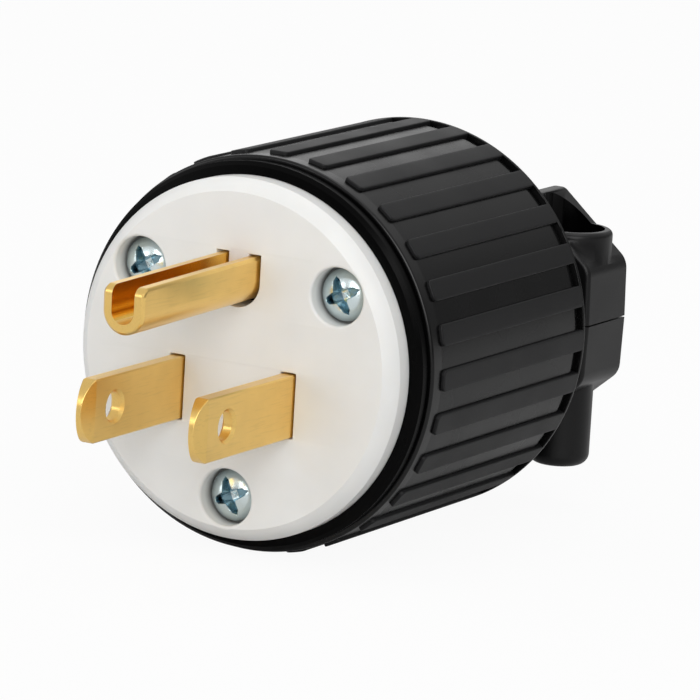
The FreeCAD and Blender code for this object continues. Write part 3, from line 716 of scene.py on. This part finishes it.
class PLUG_OT_cover(bpy.types.Operator):
    """Builds the white cover with its rounded edge, its slots and its screw recesses"""

    bl_idname = "plug.cover"
    bl_label = "Build the cover"

    def execute(self, context):
        f = context.scene.plug_face
        thick = f.thick
        back = [(0.0, thick)]
        # The outer edge is a shallow cone, a little crowned, with a crease at the face and at the wall.
        crowned = 0.13 * MM
        cone = bulged((f.edge, 0.0), (0.0, f.edge), crowned, 8)
        outlines = [(circle((0, 0), f.radius, 180), cone + back)]
        half = f.blade_thick / 2 + f.blade_gap
        reach = f.blade_width / 2 + f.blade_gap
        corner = 0.15 * MM
        for side in (1, -1):
            outlines.append((box_hole((side * f.blade_pitch / 2, -f.blade_drop), half, reach, corner),
                             rounding(f.slot_edge, 3) + back))
        outlines.append((pin_hole(f), rounding(f.slot_edge, 3) + back))
        # A recess is a wall down to its bottom, a ledge for the head, and the screw's own hole.
        step = f.recess_r - f.screw_hole_r
        # The depth at which the painted shade in a recess starts.
        unshaded = 0.9 * MM
        wall = rounding(f.recess_edge, 5) + [(0.0, unshaded), (0.0, f.recess_deep), (-step, f.recess_deep),
                                             (-step, thick)]
        middles = seats(f)
        for middle in middles:
            outlines.append((circle(middle, f.recess_r, 56, clockwise=True), wall))
        bm = bmesh.new()
        plate(bm, outlines, lambda u, v, d: (u, d, v))
        cover = made_object(bm, "cover", sharp=25)
        # 0 down to the depth where a recess's painted shade starts, and 1 at its bottom, for the material.
        hair = 0.01 * MM
        sunk = cover.data.attributes.new("sunk", "FLOAT", "POINT").data
        for vert, value in zip(cover.data.vertices, sunk):
            x, y, z = vert.co
            near = min(math.hypot(x - u, z - v) for u, v in middles)
            if near < f.recess_r + hair:
                value.value = min(max((y - unshaded) / (f.recess_deep - unshaded), 0.0), 1.0)
        dress(cover, "moulded_white_nylon", ["front_cover"])
        return {"FINISHED"}


class PLUG_OT_block(bpy.types.Operator):
    """Dresses the terminal block, whose rim is the black lip round the cover"""

    bl_idname = "plug.block"
    bl_label = "Dress the terminal block"

    def execute(self, context):
        block = flat_faced(softened("terminal_block_and_lip", "terminal_block"))
        # The block and the lip get the copy of the black nylon painted almost black as shade.
        dress(block, "deep_black_nylon", ["terminal_block"])
        return {"FINISHED"}


class PLUG_OT_blades(bpy.types.Operator):
    """Dresses the two flat blades and the folded grounding pin"""

    bl_idname = "plug.blades"
    bl_label = "Dress the blades"

    def execute(self, context):
        for name in ("line_blade", "neutral_blade", "ground_pin"):
            piece = flat_faced(softened(name + "_brass", name, sharp=20, bevel=0.09 * MM))
            dress(piece, "rolled_brass", [name])
            if name == "ground_pin":
                # The inside of the fold, as far as it stands in front of the cover's back: it gets the painted
                # shade and reflection.
                f = context.scene.plug_face
                inner = f.pin_r - f.pin_wall + 0.05 * MM
                second_finish(piece, "folded_brass_inside", lambda middle, normal:
                              abs(middle.x) < inner and middle.z > f.pin_z - inner and abs(normal.y) < 0.5
                              and middle.y < f.thick)
        return {"FINISHED"}


def screw_form(radius, head, shank_r, reach, cross, seat):
    """One pan-head screw pointing along +Y, its head's crown towards -Y and its seat at a given depth."""
    # The crowned part of the head, and the radius of the ball that it is cut from.
    dome = 0.68 * head
    ball = (radius ** 2 + dome ** 2) / (2 * dome)
    # The driver's cross: its depth in the middle, how much of that is gone at the arms' ends, and how wide its
    # walls are seen from in front. An arm's half width falls from the middle to the end, and from tip_at on it
    # falls to nothing.
    floor, risen = 1.5 * MM, 0.55
    slope = 0.16 * MM
    half, narrow = 0.7 * MM, 0.3 * MM
    tip_at = 0.8
    # Shares of an arm's length up to which the plate keeps its own tone, and from which it is painted black as
    # shade; between them it is painted bluish shade.
    bright_to, black_from = 0.2, 0.76

    def sunk(u, v):
        """How much painted shade a point of the head has in the driver's cross, from 0 to 1, and the cross's
        depth there.
        """
        along, across = max(abs(u), abs(v)), min(abs(u), abs(v))
        share = min(along / cross, 1.0)
        wide = half + (narrow - half) * share
        if share > tip_at:
            wide *= (1 - share) / (1 - tip_at)
        edge = max(across - wide, along - cross)
        inside = min(max(-edge / slope, 0.0), 1.0)
        shade = 0.0 if share < bright_to else 0.5 if share < black_from else 1.0
        return inside * shade, floor * (1 - risen * share) * inside

    def crown(u, v):
        """Height of the head's face over its seat, with the driver's cross sunk in it."""
        return head - ball + math.sqrt(max(ball ** 2 - u ** 2 - v ** 2, 0.0)) - sunk(u, v)[1]

    bm = bmesh.new()
    dark = bm.verts.layers.float.new("sunk")
    count, rings = 128, 48
    tip = bm.verts.new((0, seat - crown(0, 0), 0))
    before = None
    for k in range(1, rings + 1):
        ring = []
        for u, v in circle((0, 0), radius * k / rings, count):
            ring.append(bm.verts.new((u, seat - crown(u, v), v)))
            ring[-1][dark] = sunk(u, v)[0]
        if before:
            bridged(bm, before, ring)
        else:
            for i in range(count):
                bm.faces.new((tip, ring[(i + 1) % count], ring[i]))
        before = ring
    point = 0.5 * MM
    end = seat + reach
    for out, deep in ((radius, seat), (shank_r, seat), (shank_r, end - point), (shank_r - point, end)):
        ring = [bm.verts.new((u, deep, v)) for u, v in circle((0, 0), out, count)]
        bridged(bm, before, ring)
        before = ring
    bm.faces.new(before)
    for face in bm.faces:
        face.smooth = True
    return made_object(bm, "screw_form", sharp=40)


class PLUG_OT_face_screws(bpy.types.Operator):
    """Builds the three plated screws in the mating face"""

    bl_idname = "plug.face_screws"
    bl_label = "Build the face screws"

    def execute(self, context):
        f = context.scene.plug_face
        form = screw_form(radius=2.62 * MM, head=1.85 * MM, shank_r=1.5 * MM, reach=27.1 * MM, cross=2.0 * MM,
                          seat=f.recess_deep)
        screws = grown(form, "face_screws", seat_tree(),
                       {"Circle": f.screw_circle, "Angle": f.screw_angle, "Spin": math.radians(-27), "Seed": 4,
                        "Material": materials()["bright_zinc_plate"]})
        dress(screws, None,
              ["assembly_screw_right", "assembly_screw_left", "assembly_screw_bottom"])
        return {"FINISHED"}


class PLUG_OT_clamp(bpy.types.Operator):
    """Dresses the two halves of the cord clamp and their screws"""

    bl_idname = "plug.clamp"
    bl_label = "Dress the cord clamp"

    def execute(self, context):
        s = context.scene.plug_shell
        for name, side in (("clamp_upper", 1), ("clamp_lower", -1)):
            piece = flat_faced(softened(name + "_half", name, sharp=30))
            dress(piece, "satin_black_nylon", [name])
            # The pocket's walls, which little light reaches, get the copy painted almost black as shade.
            axis = side * s.clamp_screw_at
            second_finish(piece, "deep_black_nylon", lambda middle, normal:
                          math.hypot(middle.x - axis, middle.y - s.clamp_middle) < s.pocket_r
                          and abs(normal.z) < 0.5)
        for side in ("right", "left"):
            piece = softened("clamp_screw_%s_plated" % side, "clamp_screw_" + side, sharp=30)
            dress(piece, "bright_zinc_plate", ["clamp_screw_" + side])
        return {"FINISHED"}


class PLUG_OT_inner(bpy.types.Operator):
    """Gives the terminal screws, the pressure plates and the threaded inserts their finish"""

    bl_idname = "plug.inner"
    bl_label = "Dress the inner pieces"

    def execute(self, context):
        finishes = {"insert": "turned_brass", "pressure_plate": "bright_zinc_plate",
                    "line_terminal": "turned_brass", "neutral_terminal": "bright_zinc_plate",
                    "ground_terminal": "green_plate"}
        for name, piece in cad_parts.items():
            for word, finish in finishes.items():
                if word in name:
                    piece.data.materials.clear()
                    piece.data.materials.append(materials()[finish])
                    break
        return {"FINISHED"}


def background_share(tree, seen_by_camera, seen_in_gloss):
    """How much of the white background a ray meets: the camera's own, and those that a surface sends on."""
    path = node(tree, "ShaderNodeLightPath").outputs
    sent_on = node(tree, "ShaderNodeMath", {0: path["Is Glossy Ray"], 1: path["Is Transmission Ray"]},
                   operation="ADD").outputs[0]
    part = node(tree, "ShaderNodeMath", {0: sent_on, 1: seen_in_gloss}, operation="MULTIPLY").outputs[0]
    return node(tree, "ShaderNodeMath", {0: path["Is Camera Ray"], 1: seen_by_camera, 2: part},
                operation="MULTIPLY_ADD").outputs[0]


def lamp(name, place, size, power, aim=(0, 0, 0)):
    """A square soft box that faces a point."""
    light = bpy.data.lights.new(name, "AREA")
    light.shape = "SQUARE"
    light.size = size
    light.energy = power
    made = bpy.data.objects.new(name, light)
    made.location = place
    made.rotation_euler = (Vector(aim) - Vector(place)).to_track_quat("-Z", "Y").to_euler()
    bpy.context.scene.collection.objects.link(made)


class PLUG_OT_stage(bpy.types.Operator):
    """Lays the floor and sets the lights, the world and the camera"""

    bl_idname = "plug.stage"
    bl_label = "Set the stage"

    def execute(self, context):
        stage = context.scene.plug_stage
        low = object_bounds()[0]
        bm = bmesh.new()
        bmesh.ops.create_circle(bm, cap_ends=True, segments=96, radius=stage.floor_size,
                                matrix=Matrix.Translation((0, 0, low.z)))
        floor = made_object(bm, "floor")
        # Matt paper, which the camera sees washed out to white but for the object's shadow.
        made = bpy.data.materials.new("matt_white_paper")
        tree = empty_tree(made)
        paper = node(tree, "ShaderNodeBsdfDiffuse", {"Color": context.scene.plug_colours.floor})
        glow = node(tree, "ShaderNodeEmission", {"Color": (1, 1, 1, 1), "Strength": 1.0})
        share = background_share(tree, seen_by_camera=0.94, seen_in_gloss=0.1)
        both = node(tree, "ShaderNodeMixShader", {0: share, 1: paper.outputs[0], 2: glow.outputs[0]})
        node(tree, "ShaderNodeOutputMaterial", {"Surface": both.outputs[0]})
        floor.data.materials.append(made)
        floor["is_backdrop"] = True

        world = bpy.data.worlds.new("Studio")
        context.scene.world = world
        tree = empty_tree(world)
        way = node(tree, "ShaderNodeTexCoord").outputs["Generated"]
        height = node(tree, "ShaderNodeSeparateXYZ", {0: way}).outputs["Z"]
        # Dark near the horizon and light overhead, as in a room with a lit ceiling.
        level = node(tree, "ShaderNodeMapRange", {"Value": height, "From Min": 0.12, "From Max": 0.62,
                                                  "To Min": 0.12, "To Max": 0.65},
                     interpolation_type="SMOOTHSTEP")
        room = node(tree, "ShaderNodeBackground", {"Color": (1, 1, 1, 1), "Strength": level.outputs[0]})
        paper = node(tree, "ShaderNodeBackground", {"Color": (1, 1, 1, 1), "Strength": 1.0})
        share = background_share(tree, seen_by_camera=1.0, seen_in_gloss=0.1)
        both = node(tree, "ShaderNodeMixShader", {0: share, 1: room.outputs[0], 2: paper.outputs[0]})
        node(tree, "ShaderNodeOutputWorld", {"Surface": both.outputs[0]})

        # The key light, the left side's fill, the shine on the shell's top, the spark on the screws and the
        # light from above. Places and sizes are in metres, powers in watts.
        lamp("front_box", place=(0.5, -0.75, 0.45), size=0.75, power=5.9)
        lamp("fill_box", place=(-0.95, -0.6, 0.1), size=0.9, power=4.2)
        lamp("back_box", place=(-0.40, 0.86, 0.29), size=0.4, power=0.4)
        lamp("side_window", place=(-0.275, -0.626, 0.315), size=0.16, power=0.3)
        lamp("top_box", place=(0.05, 0.1, 0.7), size=0.4, power=0.9, aim=(0, 0.01, 0))

        data = bpy.data.cameras.new("Camera")
        data.sensor_width = 36.0
        data.lens = stage.lens
        data.clip_start, data.clip_end = 0.01, 20.0
        camera = bpy.data.objects.new("Camera", data)
        ahead = Vector(CAMERA_AHEAD).normalized()
        up = Vector(CAMERA_UP)
        right = ahead.cross(up).normalized()
        up = right.cross(ahead)
        turn_to = Matrix((right, up, -ahead)).transposed().to_4x4()
        camera.matrix_world = Matrix.Translation(CAMERA_AT) @ turn_to
        context.scene.collection.objects.link(camera)
        context.scene.camera = camera
        context.scene.view_settings.view_transform = "Standard"
        return {"FINISHED"}


class PLUG_PT_panel(bpy.types.Panel):
    """Lists the steps that build the dressed plug"""

    bl_idname = "PLUG_PT_panel"
    bl_label = "Grounding plug"
    bl_space_type = "VIEW_3D"
    bl_region_type = "UI"
    bl_category = "Plug"

    def draw(self, context):
        for step in STEPS:
            self.layout.operator(step.bl_idname)


STEPS = (PLUG_OT_shell, PLUG_OT_cover, PLUG_OT_block, PLUG_OT_blades, PLUG_OT_face_screws, PLUG_OT_clamp,
         PLUG_OT_inner, PLUG_OT_stage)
CLASSES = (ShellSizes, FaceSizes, PlugColours, StageSettings, *STEPS, PLUG_PT_panel)


def register():
    for each in CLASSES:
        bpy.utils.register_class(each)
    bpy.types.Scene.plug_shell = PointerProperty(type=ShellSizes)
    bpy.types.Scene.plug_face = PointerProperty(type=FaceSizes)
    bpy.types.Scene.plug_colours = PointerProperty(type=PlugColours)
    bpy.types.Scene.plug_stage = PointerProperty(type=StageSettings)


def unregister():
    for name in ("plug_shell", "plug_face", "plug_colours", "plug_stage"):
        delattr(bpy.types.Scene, name)
    for each in reversed(CLASSES):
        bpy.utils.unregister_class(each)


def main():
    register()
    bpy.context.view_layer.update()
    bpy.ops.plug.shell()
    bpy.ops.plug.cover()
    bpy.ops.plug.block()
    bpy.ops.plug.blades()
    bpy.ops.plug.face_screws()
    bpy.ops.plug.clamp()
    bpy.ops.plug.inner()
    bpy.ops.plug.stage()


if __name__ == "__main__":
    main()
